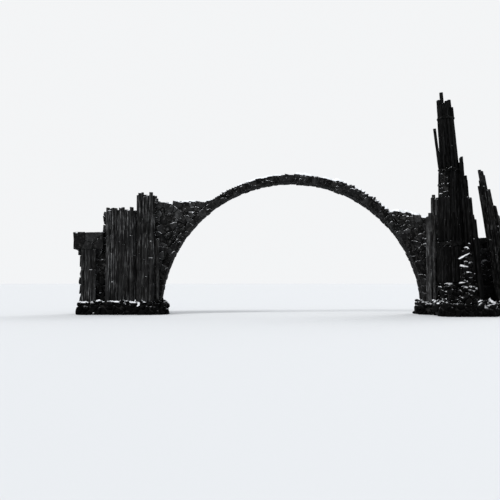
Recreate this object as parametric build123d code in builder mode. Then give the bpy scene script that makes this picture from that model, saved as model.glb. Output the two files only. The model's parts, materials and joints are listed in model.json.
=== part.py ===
"""Moon bridge of rubble masonry and standing basalt columns.

A thin semicircular stone ring carries a stepped footway over open water. Rubble walls hold
its haunches, and bundles of basalt columns stand against the walls on rock footings: a tall
leaning spire and a splayed cluster at the right bank, and flat rows at the left bank.

Millimetres. +X runs along the bridge to the right bank, +Y to the back, +Z up. The origin is
at water level, at the middle of the footprint.
"""

from build123d import *
from math import asin, atan2, cos, degrees, pi, radians, sin, sqrt, tan
import os

# Arch ring and footway. Angles are measured from the crown.
arch_radius = 8000
ring_thickness = 420
arch_width = 1400
path_thickness = 50
path_half_angle = 18.0
left_step_angle = 1.1
left_step_seat = 20
right_step_angle = 1.6
right_step_seat = 120

# Footings
footing_height = 750
footing_toe = 350
footing_batter = 8
footing_margin = 650
spire_footing_margin = 230

# Left wall, in three falling lengths away from the arch
left_haunch_angle = 36.1
left_wall_length = 1450
left_approach_drop = 620
left_approach_length = 1950
left_pier_height = 3930
left_pier_length = 1450
left_cap_height = 1020
left_cap_overhang = 350
left_cap_side_overhang = 300

# Right wall
right_haunch_angle = 42.6
right_shoulder_length = 1000
right_shoulder_drop = 320
right_wall_length = 700
right_approach_drop = 1300
right_approach_length = 5150

# Basalt columns
column_pitch = 225
column_joint = 12
column_irregularity = 0.07
break_angle = 16

# Rows of columns against the walls: distance from the springing line, length, and height of
# the tops above (or below) the wall behind
row_ranks = 2
row_unevenness = 170
left_short_start = 40
left_short_length = 240
left_short_drop = 2220
left_tall_start = 300
left_tall_length = 1140
left_tall_rise = 400
left_low_length = 1850
left_low_rise = 120
left_end_start = 3850
left_end_length = 900
right_front_start = 20
right_front_length = 690
right_front_rise = 70
right_tall_start = 730
right_tall_length = 920
right_tall_rise = 1390
right_low_length = 1850
right_low_rise = 170

# Spire: a shaft of three tiers on a plinth and two beds, drawing together as it rises
spire_start = 1400
spire_forward = 1070
spire_radius = 950
spire_taper = 0.040e-3
spire_lean = -0.020
plinth_height = 1200
lower_tier_height = 2100
lower_bed_height = 300
middle_tier_height = 4140
middle_bed_height = 140
upper_tier_height = 2970
upper_bed_height = 140
bed_overhang = 40
upper_tier_radius = 600
upper_tier_offset = 40
upper_tier_lean = -0.073
stray_length = 2400
stray_width = 165
stray_lean = 6.7
stray_turn = 203

# Short broken columns on top: the tallest, two at the sides of the back rank, and the rest from
# the middle out to the edges
crown_height = 1540
crown_side_height = 1095
crown_middle_height = 880
crown_edge_height = 190
crown_unevenness = 75

# Stack of flat stones let into the left of the middle tier, under its bed
stack_height = 1540
stack_courses = 5
stack_unevenness = 80
stack_first_turn = 104
stack_last_turn = 199

# Flank of shorter columns wrapped about the right side of the shaft
flank_clearance = 15
flank_ranks = 4
flank_front_turn = 40
flank_top = 9400
flank_fall = 6.0
flank_unevenness = 220

# Mound of boulders against the front of the spire
mound_turn = 71
mound_radius = 560
mound_height = 3300
mound_shares = [0.30, 0.26, 0.24, 0.20]
mound_shrink = 0.76
mound_batter = 7
mound_lean = 85

# Splayed cluster beyond the spire
cluster_start = 4900
cluster_radius = 950
cluster_top = 8620
cluster_lowest = 3200
cluster_taper = 0.052e-3
cluster_lean = -0.196
cluster_pitch = 300
cluster_fall = 5.5
cluster_left_share = 0.8
cluster_depth_share = 0.5
cluster_unevenness = 200

# Worked out from the sizes above. A ring of columns grows by ring_growth pitches from its inner
# edge to its middle.
ring_growth = 2 * pi / sqrt(3)
extrados_radius = arch_radius + ring_thickness
path_radius = extrados_radius + path_thickness
half_width = arch_width / 2
springing = arch_radius
footing_half_width = half_width + footing_margin
batter_run = footing_height * tan(radians(footing_batter))
left_wall_height = extrados_radius * cos(radians(left_haunch_angle))
left_approach_height = left_wall_height - left_approach_drop
right_wall_height = extrados_radius * cos(radians(right_haunch_angle))
right_shoulder_height = right_wall_height - right_shoulder_drop
right_approach_height = right_shoulder_height - right_approach_drop
left_wall_end = springing + left_wall_length
left_approach_end = left_wall_end + left_approach_length
left_pier_end = left_approach_end + left_pier_length
right_wall_end = springing + right_wall_length
right_approach_end = right_wall_end + right_approach_length
shaft_x = springing + spire_start
shaft_y = -(half_width + spire_forward)
plinth_radius = spire_radius + bed_overhang
flank_inner = plinth_radius + flank_clearance
flank_reach = flank_inner + (1.5 * flank_ranks + 0.5) * column_pitch / sqrt(3)
mound_distance = plinth_radius + flank_clearance + mound_radius
mound_x = mound_distance * cos(radians(mound_turn))
mound_y = -mound_distance * sin(radians(mound_turn))
mound_front = mound_radius - mound_y
cluster_x = springing + cluster_start
right_end = max(right_approach_end, cluster_x + cluster_radius) + spire_footing_margin + batter_run
left_end = left_pier_end + max(left_cap_overhang, batter_run)
front_end = mound_front - shaft_y + spire_footing_margin + batter_run
back_end = footing_half_width + batter_run
arch_x = (left_end - right_end) / 2
centre_y = (front_end - back_end) / 2
elevation = Plane(origin=(arch_x, centre_y, 0), x_dir=(1, 0, 0), z_dir=(0, -1, 0))


def level(height):
    """The horizontal plane at a height, with its origin under the crown of the arch."""
    return Plane(origin=(arch_x, centre_y, height))


def wobble(a, b, salt):
    """A fixed irregular number from -1 to 1 for a place in a pattern."""
    return 2 * ((sin(a * 12.9898 + b * 78.233 + salt * 37.719) * 43758.5453) % 1) - 1


def on_circle(radius, angle):
    """A point of a circle about the arch's centre, at an angle from the crown."""
    return radius * sin(radians(angle)), radius * cos(radians(angle))


def mirrored(side, point):
    """A point of the elevation, on the left or the right of the crown."""
    return side * point[0], point[1]


# Arch and footway


def ring():
    """The arch ring, a half annulus that seats on the tops of both footings."""
    foot_angle = 90 - degrees(asin(footing_height / arch_radius))
    toe_angle = 90 - degrees(asin(footing_height / extrados_radius))
    inner = on_circle(arch_radius, foot_angle)
    outer = on_circle(extrados_radius, toe_angle)
    with BuildPart() as piece:
        with BuildSketch(elevation):
            with BuildLine():
                ThreePointArc(mirrored(-1, outer), on_circle(extrados_radius, 0), outer)
                Line(outer, inner)
                ThreePointArc(inner, on_circle(arch_radius, 0), mirrored(-1, inner))
                Line(mirrored(-1, inner), mirrored(-1, outer))
            make_face()
        extrude(amount=half_width, both=True)
    return piece.part


def crown_path():
    """The paving over the crown, between the two flights."""
    upper = on_circle(path_radius, path_half_angle)
    lower = on_circle(extrados_radius, path_half_angle)
    with BuildPart() as piece:
        with BuildSketch(elevation):
            with BuildLine():
                ThreePointArc(mirrored(-1, upper), on_circle(path_radius, 0), upper)
                Line(upper, lower)
                ThreePointArc(lower, on_circle(extrados_radius, 0), mirrored(-1, lower))
                Line(mirrored(-1, lower), mirrored(-1, upper))
            make_face()
        extrude(amount=half_width, both=True)
    return piece.part


def flight(side, haunch_angle, wall_height, step_angle, seat):
    """Rough steps from a wall's top up the ring's back to the crown paving.

    seat is how far the steps' inner corners stand off the ring.
    """
    radius = extrados_radius + seat
    count = max(2, round((haunch_angle - path_half_angle) / step_angle))
    angles = [haunch_angle + (path_half_angle - haunch_angle) * i / count for i in range(count + 1)]
    steps = [(on_circle(radius, haunch_angle)[0], wall_height)]
    for lower, upper in zip(angles, angles[1:]):
        steps.append((on_circle(radius, lower)[0], on_circle(radius, upper)[1]))
        steps.append(on_circle(radius, upper))
    steps.append(on_circle(extrados_radius, path_half_angle))
    middle = on_circle(extrados_radius, (haunch_angle + path_half_angle) / 2)
    foot = on_circle(extrados_radius, haunch_angle)
    with BuildPart() as piece:
        with BuildSketch(elevation):
            with BuildLine():
                Polyline(*[mirrored(side, step) for step in steps])
                ThreePointArc(mirrored(side, steps[-1]), mirrored(side, middle), mirrored(side, foot))
                Line(mirrored(side, foot), mirrored(side, steps[0]))
            make_face()
        extrude(amount=half_width, both=True)
    return piece.part


# Walls and footings


def abutment(side, haunch_angle, top):
    """A spandrel wall that follows the back of the ring. top runs outward from the ring."""
    foot_angle = 90 - degrees(asin(footing_height / extrados_radius))
    foot = on_circle(extrados_radius, foot_angle)
    head = on_circle(extrados_radius, haunch_angle)
    middle = on_circle(extrados_radius, (haunch_angle + foot_angle) / 2)
    outline = [head, *top, (top[-1][0], footing_height), foot]
    with BuildPart() as piece:
        with BuildSketch(elevation):
            with BuildLine():
                Polyline(*[mirrored(side, point) for point in outline])
                ThreePointArc(mirrored(side, foot), mirrored(side, middle), mirrored(side, head))
            make_face()
        extrude(amount=half_width, both=True)
    return piece.part


def block(near, far, bottom, top, half_depth):
    """A plain length of wall between two distances from the crown line."""
    with BuildPart() as piece:
        with BuildSketch(level(bottom)):
            with Locations(((near + far) / 2, 0)):
                Rectangle(abs(far - near), 2 * half_depth)
        extrude(amount=top - bottom)
    return piece.part


def footing_of(outlines):
    """A rock footing with battered sides under each outline, from the water up."""
    with BuildPart() as piece:
        for outline in outlines:
            with BuildSketch(level(footing_height)):
                Polygon(*outline, align=None)
            extrude(amount=-footing_height, taper=-footing_batter)
    return piece.part


def cut_plan(x, y, reach_left, reach_right, reach_front, reach_back):
    """An eight-sided plan about a point, with its corners cut."""
    cut = 0.4 * min(reach_left, reach_right, reach_front, reach_back)
    left, right, front, back = x - reach_left, x + reach_right, y - reach_front, y + reach_back
    return [
        (left, front + cut),
        (left + cut, front),
        (right - cut, front),
        (right, front + cut),
        (right, back - cut),
        (right - cut, back),
        (left + cut, back),
        (left, back - cut),
    ]


def wall_plan(side, near, far):
    """The plan of the footing under a wall and its rows of columns, with its toe corners cut."""
    cut = 0.4 * footing_half_width
    outline = [
        (near, -footing_half_width + cut),
        (near + cut, -footing_half_width),
        (far, -footing_half_width),
        (far, footing_half_width),
        (near + cut, footing_half_width),
        (near, footing_half_width - cut),
    ]
    placed = [mirrored(side, point) for point in outline]
    return placed if side > 0 else placed[::-1]


# Basalt columns


def corner_keys(i, j):
    """The six corner keys of one honeycomb cell. Neighbours share keys."""
    a, b = 2 * i + j % 2, 3 * j
    return [(a, b + 2), (a + 1, b + 1), (a + 1, b - 1), (a, b - 2), (a - 1, b - 1), (a - 1, b + 1)]


def cell(i, j, pitch):
    """The corners of one cell of a flat honeycomb, each a little shifted."""
    shift = column_irregularity * pitch
    return [
        (p * pitch / 2 + shift * wobble(p, q, 1), q * pitch / sqrt(12) + shift * wobble(p, q, 2))
        for p, q in corner_keys(i, j)
    ]


def wrapped_cell(i, j, count, inner):
    """The corners of one cell of a honeycomb wrapped about the middle, count cells to the turn.

    The turn runs from the right over the front.
    """
    pitch = 2 * pi * inner / (count - ring_growth)
    shift = column_irregularity * pitch
    corners = []
    for p, q in corner_keys(i, j):
        key = p % (2 * count)
        radius = inner + (q + 2) * pitch / sqrt(12) + shift * wobble(key, q, 1)
        angle = p * pi / count + shift * wobble(key, q, 2) / radius
        corners.append((radius * cos(angle), -radius * sin(angle)))
    return corners


def middle_of(outline):
    """The mean of an outline's corners."""
    return sum(x for x, y in outline) / len(outline), sum(y for x, y in outline) / len(outline)


def disc_cells(pitch, radius):
    """The honeycomb cells whose middles lie within a radius."""
    ranks = round(radius / (pitch * sqrt(3) / 2)) + 1
    files = round(radius / pitch) + 1
    outlines = [cell(i, j, pitch) for j in range(-ranks, ranks + 1) for i in range(-files, files + 1)]
    return [outline for outline in outlines if Vector(*middle_of(outline)).length <= radius]


def column(outline, scale, foot, foot_centre, head, head_centre, broken=True):
    """One basalt column: a straight prism from its foot to its head, broken off at a slant."""
    mx, my = middle_of(outline)
    corners = [(foot_centre[0] + scale * (x - mx), foot_centre[1] + scale * (y - my)) for x, y in outline]
    run = Vector(head_centre[0] - foot_centre[0], head_centre[1] - foot_centre[1], head - foot)
    with BuildPart() as piece:
        with BuildSketch(level(foot)):
            Polygon(*corners, align=None)
        extrude(amount=run.length, dir=run.normalized())
        if broken:
            reach = scale * max(sqrt((x - mx) ** 2 + (y - my) ** 2) for x, y in outline)
            turn = pi * wobble(mx, my, 3)
            tilt = radians(break_angle) * (0.55 + 0.45 * wobble(mx, my, 4))
            normal = (sin(tilt) * cos(turn), sin(tilt) * sin(turn), cos(tilt))
            top = (arch_x + head_centre[0], centre_y + head_centre[1], head - reach * tan(tilt))
            split(bisect_by=Plane(origin=top, z_dir=normal), keep=Keep.BOTTOM)
    return piece.part


def row(side, start, length, front, ranks, head, broken=True):
    """Upright columns on the footing, in a shallow honeycomb against one face of a wall."""
    wall_gap = column_joint + column_pitch * (1 / sqrt(3) + column_irregularity)
    count = int(length / column_pitch)
    with BuildPart() as piece:
        for j in range(ranks):
            for i in range(count - j % 2):
                outline = cell(i, j, column_pitch)
                u, v = middle_of(outline)
                place = (
                    side * (springing + start + column_pitch / 2 + u),
                    front * (half_width + wall_gap + v),
                )
                top = head + row_unevenness * wobble(u, v, 5) if broken else head
                turned = [(side * p, front * q) for p, q in outline]
                ordered = turned if side * front > 0 else turned[::-1]
                scale = 1 - column_joint / column_pitch
                add(column(ordered, scale, footing_height, place, top, place, broken))
    return piece.part


def bundle(outlines, foot_centre, head_centre, foot, head, draw, joint, top_of=None, broken=False):
    """Columns that lean together and draw together upward.

    head is the height at which they reach head_centre and the share draw of their spread at the
    foot. top_of gives the height of each column's own top.
    """
    with BuildPart() as piece:
        for outline in outlines:
            u, v = middle_of(outline)
            end = head if top_of is None else top_of(u, v)
            share = (end - foot) / (head - foot)
            drawn = 1 + (draw - 1) * share
            foot_place = (foot_centre[0] + u, foot_centre[1] + v)
            head_place = (
                foot_centre[0] + (head_centre[0] - foot_centre[0]) * share + drawn * u,
                foot_centre[1] + (head_centre[1] - foot_centre[1]) * share + drawn * v,
            )
            add(column(outline, joint * drawn, foot, foot_place, end, head_place, broken))
    return piece.part


def drum(foot_centre, head_centre, foot, head, foot_radius, head_radius, sides):
    """A length of many-sided rubble that may lean and taper."""
    with BuildPart() as piece:
        with BuildSketch(level(foot)):
            with Locations(foot_centre):
                RegularPolygon(foot_radius, sides)
        with BuildSketch(level(head)):
            with Locations(head_centre):
                RegularPolygon(head_radius, sides)
        loft(ruled=True)
    return piece.part


# The pieces, by name

pieces = {}

# Footings
pieces["left_footing"] = footing_of([wall_plan(-1, springing - footing_toe, left_pier_end)])
pieces["right_footing"] = footing_of(
    [
        wall_plan(1, springing - footing_toe, right_approach_end),
        cut_plan(
            shaft_x,
            shaft_y,
            spire_radius + spire_footing_margin,
            flank_reach + spire_footing_margin,
            mound_front + spire_footing_margin,
            spire_radius + spire_footing_margin,
        ),
        cut_plan(
            cluster_x,
            shaft_y,
            cluster_radius + spire_footing_margin,
            cluster_radius + spire_footing_margin,
            cluster_radius + spire_footing_margin,
            cluster_radius + spire_footing_margin,
        ),
    ]
)

# Arch and footway
pieces["arch_ring"] = ring()
pieces["crown_path"] = crown_path()
pieces["left_flight"] = flight(-1, left_haunch_angle, left_wall_height, left_step_angle, left_step_seat)
pieces["right_flight"] = flight(1, right_haunch_angle, right_wall_height, right_step_angle, right_step_seat)

# Walls
pieces["left_abutment"] = abutment(-1, left_haunch_angle, [(left_wall_end, left_wall_height)])
pieces["left_approach_wall"] = block(
    -left_approach_end, -left_wall_end, footing_height, left_approach_height, half_width
)
pieces["left_end_pier"] = block(
    -left_pier_end, -left_approach_end, footing_height, left_pier_height, half_width
)
pieces["left_end_cap"] = block(
    -left_pier_end - left_cap_overhang,
    -left_approach_end,
    left_pier_height,
    left_pier_height + left_cap_height,
    half_width + left_cap_side_overhang,
)
pieces["right_abutment"] = abutment(
    1,
    right_haunch_angle,
    [
        (springing - right_shoulder_length, right_wall_height),
        (springing, right_shoulder_height),
        (right_wall_end, right_shoulder_height),
    ],
)
pieces["right_approach_wall"] = block(
    right_wall_end, right_approach_end, footing_height, right_approach_height, half_width
)

# Rows of columns, each against the front or the back of a wall
left_low_start = left_tall_start + left_tall_length + column_joint
right_low_start = right_tall_start + right_tall_length + column_joint
for front, face in ((-1, "front"), (1, "back")):
    pieces[f"left_short_columns_{face}"] = row(
        -1, left_short_start, left_short_length, front, 1, left_wall_height - left_short_drop
    )
    pieces[f"left_tall_columns_{face}"] = row(
        -1, left_tall_start, left_tall_length, front, row_ranks, left_wall_height + left_tall_rise
    )
    pieces[f"left_low_columns_{face}"] = row(
        -1, left_low_start, left_low_length, front, row_ranks, left_approach_height + left_low_rise
    )
    pieces[f"left_end_columns_{face}"] = row(
        -1, left_end_start, left_end_length, front, 1, left_pier_height, False
    )
pieces["right_low_columns_front"] = row(
    1, right_front_start, right_front_length, -1, row_ranks, right_shoulder_height + right_front_rise
)
pieces["right_tall_columns_back"] = row(
    1, right_tall_start, right_tall_length, 1, row_ranks, right_shoulder_height + right_tall_rise
)
pieces["right_low_columns_back"] = row(
    1, right_low_start, right_low_length, 1, row_ranks, right_approach_height + right_low_rise
)

# Spire
jointed = 1 - column_joint / column_pitch
plinth_head = footing_height + plinth_height
lower_head = plinth_head + lower_tier_height
middle_foot = lower_head + lower_bed_height
middle_head = middle_foot + middle_tier_height
stack_foot = middle_head - stack_height
upper_foot = middle_head + middle_bed_height
upper_head = upper_foot + upper_tier_height
crown_foot = upper_head + upper_bed_height


def spire_draw(height):
    """How far the spire has drawn together at a height, as a share of its width at the footing."""
    return 1 - spire_taper * (height - footing_height)


def spire_centre(height):
    """The middle of the spire's shaft at a height."""
    return shaft_x + spire_lean * (height - footing_height), shaft_y


def ring_sizes(radius):
    """How many columns stand in a ring of an outer radius, and the ring's inner radius."""
    count = round(2 * pi * radius / column_pitch - ring_growth)
    return count, radius * (count - ring_growth) / (count + ring_growth)


def heart_radius(inner):
    """The radius of the rubble inside a ring of columns."""
    return inner - column_irregularity * column_pitch - 2 * column_joint


def tier(foot, head, foot_centre, head_centre, radius, draw, top_of=None):
    """The ring of columns and the rubble heart of one tier of the shaft."""
    count, inner = ring_sizes(radius)
    outlines = [wrapped_cell(i, 0, count, inner) for i in range(count)]
    shell = bundle(outlines, foot_centre, head_centre, foot, head, draw, jointed, top_of)
    heart = drum(foot_centre, head_centre, foot, head, heart_radius(inner), heart_radius(inner) * draw, 8)
    return shell, heart


def turn_of(u, v):
    """The turn of a place about the shaft, from the right over the front, in degrees."""
    return degrees(atan2(-v, u)) % 360


def in_stack(u, v):
    """Whether a place in the middle tier lies under the stack."""
    return stack_first_turn < turn_of(u, v) < stack_last_turn


def middle_top(u, v):
    """The height of the middle tier's columns, shorter under the stack."""
    return stack_foot if in_stack(u, v) else middle_head


def stack():
    """Courses of flat stones that stand in for the upper lengths of some columns of the shaft."""
    count, inner = ring_sizes(spire_radius * spire_draw(middle_foot))
    outer = inner * (count + ring_growth) / (count - ring_growth)
    half_step = 180 / count
    turns = [2 * half_step * i for i in range(count)]
    turns = [turn for turn in turns if stack_first_turn < turn < stack_last_turn]
    margin = degrees((column_irregularity * column_pitch + 2 * column_joint) / inner)
    first = turns[0] - half_step + margin
    last = turns[-1] + half_step - margin
    course = stack_height / stack_courses
    with BuildPart() as piece:
        for i in range(stack_courses):
            bottom = stack_foot + i * course
            draw = spire_draw(bottom + course) / spire_draw(middle_foot)
            start = first + 0.08 * (last - first) * (1 + wobble(i, 1, 9)) / 2
            end = last - 0.08 * (last - first) * (1 + wobble(i, 2, 9)) / 2
            near = (heart_radius(inner) + column_joint) * draw
            far = (outer - stack_unevenness * (1 + wobble(i, 3, 9)) / 2) * draw
            fan = [radians(start + (end - start) * k / 4) for k in range(5)]
            corners = [(far * cos(a), -far * sin(a)) for a in fan]
            corners += [(near * cos(a), -near * sin(a)) for a in reversed(fan)]
            with BuildSketch(level(bottom)):
                with Locations(spire_centre(bottom + course)):
                    Polygon(*corners, align=None)
            extrude(amount=course)
    return piece.part


upper_x = spire_centre(upper_foot)[0] + upper_tier_offset
upper_centre = (upper_x, shaft_y)
stray_reach = stray_width * (1 / sqrt(3) + column_irregularity)
stray_away = upper_tier_radius + column_irregularity * column_pitch + stray_reach + column_joint
stray_foot = (
    upper_x + stray_away * cos(radians(stray_turn)),
    shaft_y + stray_away * sin(radians(stray_turn)),
)
crown_centre = (upper_x + upper_tier_lean * upper_tier_height, shaft_y)
upper_draw = spire_draw(upper_head) / spire_draw(upper_foot)
crown_radius = upper_tier_radius * upper_draw


def bed(height, thickness, centre, radius, corbels=()):
    """A course of flat stones under a tier, with a stone corbelled out at each place given."""
    with BuildPart() as piece:
        with BuildSketch(level(height)):
            with Locations(centre):
                RegularPolygon(radius, 12)
            for corbel in corbels:
                with Locations(corbel):
                    RegularPolygon(stray_reach + column_joint, 6, rotation=30)
        extrude(amount=thickness)
    return piece.part


pieces["spire_plinth"] = drum(
    spire_centre(footing_height),
    spire_centre(plinth_head),
    footing_height,
    plinth_head,
    plinth_radius,
    plinth_radius * spire_draw(plinth_head),
    12,
)
pieces["spire_lower_tier"], pieces["spire_lower_core"] = tier(
    plinth_head,
    lower_head,
    spire_centre(plinth_head),
    spire_centre(lower_head),
    spire_radius * spire_draw(plinth_head),
    spire_draw(lower_head) / spire_draw(plinth_head),
)
pieces["spire_lower_bed"] = bed(
    lower_head, lower_bed_height, spire_centre(lower_head), plinth_radius * spire_draw(middle_foot)
)
pieces["spire_middle_tier"], pieces["spire_middle_core"] = tier(
    middle_foot,
    middle_head,
    spire_centre(middle_foot),
    spire_centre(middle_head),
    spire_radius * spire_draw(middle_foot),
    spire_draw(middle_head) / spire_draw(middle_foot),
    middle_top,
)
pieces["spire_stack"] = stack()
pieces["spire_middle_bed"] = bed(
    middle_head,
    middle_bed_height,
    spire_centre(middle_head),
    plinth_radius * spire_draw(upper_foot),
    [stray_foot],
)
pieces["spire_upper_tier"], pieces["spire_upper_core"] = tier(
    upper_foot, upper_head, upper_centre, crown_centre, upper_tier_radius, upper_draw
)
pieces["spire_upper_bed"] = bed(upper_head, upper_bed_height, crown_centre, crown_radius + bed_overhang)


def stub_top(u, v):
    """The broken heights of the short columns on the spire's top."""
    across, back = u / column_pitch, v / column_pitch
    if 0.5 < back < 1.2 and -1 < across < 0:
        return crown_foot + crown_height
    if 0.5 < back < 1.2 and abs(across) > 1:
        return crown_foot + crown_side_height
    fall = (crown_middle_height - crown_edge_height) * (u / crown_radius) ** 2
    return crown_foot + crown_middle_height - fall + crown_unevenness * wobble(u, v, 6)


pieces["spire_crown_columns"] = bundle(
    disc_cells(column_pitch, crown_radius - 0.42 * column_pitch),
    crown_centre,
    (crown_centre[0] + upper_tier_lean * crown_height, shaft_y),
    crown_foot,
    crown_foot + crown_height,
    1 - spire_taper * crown_height,
    jointed,
    stub_top,
    True,
)

pieces["spire_stray_column"] = column(
    cell(0, 0, stray_width),
    1,
    upper_foot,
    stray_foot,
    upper_foot + stray_length * cos(radians(stray_lean)),
    (stray_foot[0] - stray_length * sin(radians(stray_lean)), stray_foot[1]),
)

# Flank of the spire
flank_count = round(2 * pi * flank_inner / column_pitch + ring_growth)
flank_front = round(flank_count * flank_front_turn / 360)
flank_back = int(flank_count * asin((spire_forward - column_joint) / flank_reach) / (2 * pi) - 0.5)


def flank_height(u, v):
    """The broken heights of the flank, falling away from the shaft."""
    beyond = Vector(u, v).length - flank_inner - column_pitch / sqrt(3)
    return flank_top - flank_fall * beyond - flank_unevenness * (1 + wobble(u, v, 7))


pieces["spire_flank_columns"] = bundle(
    [
        wrapped_cell(i, j, flank_count, flank_inner)
        for j in range(flank_ranks)
        for i in range(-flank_back, flank_front + 1 - j % 2)
    ],
    spire_centre(footing_height),
    spire_centre(flank_top),
    footing_height,
    flank_top,
    spire_draw(flank_top),
    jointed,
    flank_height,
    True,
)


def mound():
    """Boulders piled against the front of the spire, each lump smaller than the last."""
    with BuildPart() as piece:
        bottom = footing_height
        radius = mound_radius
        for i, share in enumerate(mound_shares):
            rise = share * mound_height
            with BuildSketch(level(bottom)):
                with Locations(Location((shaft_x + mound_x, shaft_y + mound_y + i * mound_lean, 0), 25 * i)):
                    RegularPolygon(radius, 7)
            extrude(amount=rise, taper=mound_batter)
            bottom += rise
            radius *= mound_shrink
    return piece.part


pieces["spire_mound"] = mound()

# Cluster
cluster_peak = 0.5 * cluster_radius


def cluster_height(u, v):
    """The broken heights of the splayed cluster, falling away from its peak, most steeply to the right."""
    beyond = u + cluster_peak
    away = Vector(beyond if beyond > 0 else cluster_left_share * beyond, cluster_depth_share * v).length
    fall = cluster_fall * max(0, away - cluster_pitch / 2)
    return max(cluster_lowest, cluster_top - fall - cluster_unevenness * (1 + wobble(u, v, 8)))


pieces["cluster_columns"] = bundle(
    disc_cells(cluster_pitch, cluster_radius - 0.5 * cluster_pitch),
    (cluster_x, shaft_y),
    (cluster_x + cluster_lean * (cluster_top - footing_height), shaft_y),
    footing_height,
    cluster_top,
    1 - cluster_taper * (cluster_top - footing_height),
    1 - column_joint / cluster_pitch,
    cluster_height,
    True,
)

os.makedirs("parts", exist_ok=True)
for name, shape in pieces.items():
    shape.label = name
    export_step(shape, f"parts/{name}.step")
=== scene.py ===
"""Looks for the moon bridge: rubble stones, mortar, basalt columns, frost, light and camera."""

import functools
import itertools
import json
import math
import random

import bmesh
import bpy
import numpy as np
from mathutils import Matrix, Vector, noise
from mathutils.bvhtree import BVHTree

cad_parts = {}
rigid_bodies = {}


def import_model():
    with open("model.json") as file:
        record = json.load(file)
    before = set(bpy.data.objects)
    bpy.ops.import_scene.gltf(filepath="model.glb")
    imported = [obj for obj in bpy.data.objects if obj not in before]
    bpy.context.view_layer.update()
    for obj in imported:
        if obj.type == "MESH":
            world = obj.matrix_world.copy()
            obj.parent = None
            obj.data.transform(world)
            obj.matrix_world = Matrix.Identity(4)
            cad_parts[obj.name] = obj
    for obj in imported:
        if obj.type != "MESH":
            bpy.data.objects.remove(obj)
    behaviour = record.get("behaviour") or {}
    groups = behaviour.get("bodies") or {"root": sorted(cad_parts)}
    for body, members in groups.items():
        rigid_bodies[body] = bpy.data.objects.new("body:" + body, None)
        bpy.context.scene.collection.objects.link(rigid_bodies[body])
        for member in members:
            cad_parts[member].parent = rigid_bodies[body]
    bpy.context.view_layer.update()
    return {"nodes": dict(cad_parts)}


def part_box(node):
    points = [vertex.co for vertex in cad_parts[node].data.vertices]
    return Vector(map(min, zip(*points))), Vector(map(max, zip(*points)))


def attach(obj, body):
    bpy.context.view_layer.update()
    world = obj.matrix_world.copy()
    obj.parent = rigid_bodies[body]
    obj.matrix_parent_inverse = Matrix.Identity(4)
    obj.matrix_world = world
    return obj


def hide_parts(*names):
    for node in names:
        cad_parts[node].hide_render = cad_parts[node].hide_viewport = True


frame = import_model()
nodes = frame["nodes"]

# Places read from the frame
ring_low, ring_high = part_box("arch_ring")
ARCH_X = (ring_low.x + ring_high.x) / 2
ARCH_Y = (ring_low.y + ring_high.y) / 2
HALF_WIDTH = (ring_high.y - ring_low.y) / 2
EXTRADOS = ring_high.z

# Real sizes, in metres. Angles are measured from the crown, in degrees.
RING_THICKNESS = 0.42
INTRADOS = EXTRADOS - RING_THICKNESS
PATH_HALF_ANGLE = 18.0
LEFT_STEP_ANGLE = 1.1
RIGHT_STEP_ANGLE = 1.6
LEFT_HAUNCH_ANGLE = 36.1
RIGHT_HAUNCH_ANGLE = 42.6

DOWN = Vector((0, 0, -1))

# The noise gets a seed, so that it is the same on every run
noise.seed_set(7)


# Materials


class Shader:
    """A material's node tree, with short calls for the nodes used here."""

    def __init__(self, name):
        self.material = bpy.data.materials.new(name)
        self.material.use_nodes = True
        self.tree = self.material.node_tree
        self.surface = self.tree.nodes["Principled BSDF"]

    def feed(self, socket, value):
        """Links a socket to another one's value, or sets its own."""
        if isinstance(value, bpy.types.NodeSocket):
            self.tree.links.new(value, socket)
        else:
            socket.default_value = value

    def node(self, kind, inputs=None, **settings):
        """Adds a node with its settings and feeds its inputs."""
        made = self.tree.nodes.new(kind)
        for key, value in settings.items():
            setattr(made, key, value)
        for key, value in (inputs or {}).items():
            self.feed(made.inputs[key], value)
        return made

    def place(self):
        """Places in the piece's own frame, in metres."""
        return self.node("ShaderNodeTexCoord").outputs["Object"]

    def drawn_out(self, place, share):
        """A place whose height counts only for a share, so that what lies on it runs up and down."""
        return self.node("ShaderNodeMapping", {"Vector": place, "Scale": (1.0, 1.0, share)}).outputs["Vector"]

    def upward(self, vector):
        """How far a vector goes up."""
        return self.node("ShaderNodeSeparateXYZ", {0: vector}).outputs["Z"]

    def noise(self, place, scale, detail=5.0, roughness=0.55):
        """Clouds with values between 0 and 1, as many to the metre as the scale says."""
        return self.node(
            "ShaderNodeTexNoise", {"Vector": place, "Scale": scale, "Detail": detail, "Roughness": roughness}
        ).outputs["Fac"]

    def math(self, operation, a, b):
        """What an operation makes of two values."""
        return self.node("ShaderNodeMath", {0: a, 1: b}, operation=operation).outputs[0]

    def ramp(self, value, low, high, to_low=0.0, to_high=1.0):
        """A value carried over from one range to another, and kept within it."""
        return self.node(
            "ShaderNodeMapRange",
            {"Value": value, "From Min": low, "From Max": high, "To Min": to_low, "To Max": to_high},
        ).outputs["Result"]

    def mix(self, factor, a, b, blend="MIX"):
        """Two colours blended, from all of the first at 0 to all of the second at 1."""
        inputs = {0: factor, 6: a, 7: b}
        return self.node("ShaderNodeMix", inputs, data_type="RGBA", blend_type=blend).outputs[2]

    def bump(self, height, strength, distance):
        """The way the surface faces once a height has roughened it."""
        inputs = {"Height": height, "Strength": strength, "Distance": distance}
        return self.node("ShaderNodeBump", inputs).outputs["Normal"]

    def set(self, **values):
        """Feeds the surface's inputs, named with _ for spaces, and gives the material."""
        for key, value in values.items():
            self.feed(self.surface.inputs[key.replace("_", " ")], value)
        return self.material


def grey(value, warmth=0.0):
    """A near-neutral colour, a little warm or cold."""
    return (value * (1 + warmth), value, value * (1 - warmth), 1.0)


SNOW = (0.80, 0.81, 0.83, 1.0)


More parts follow.
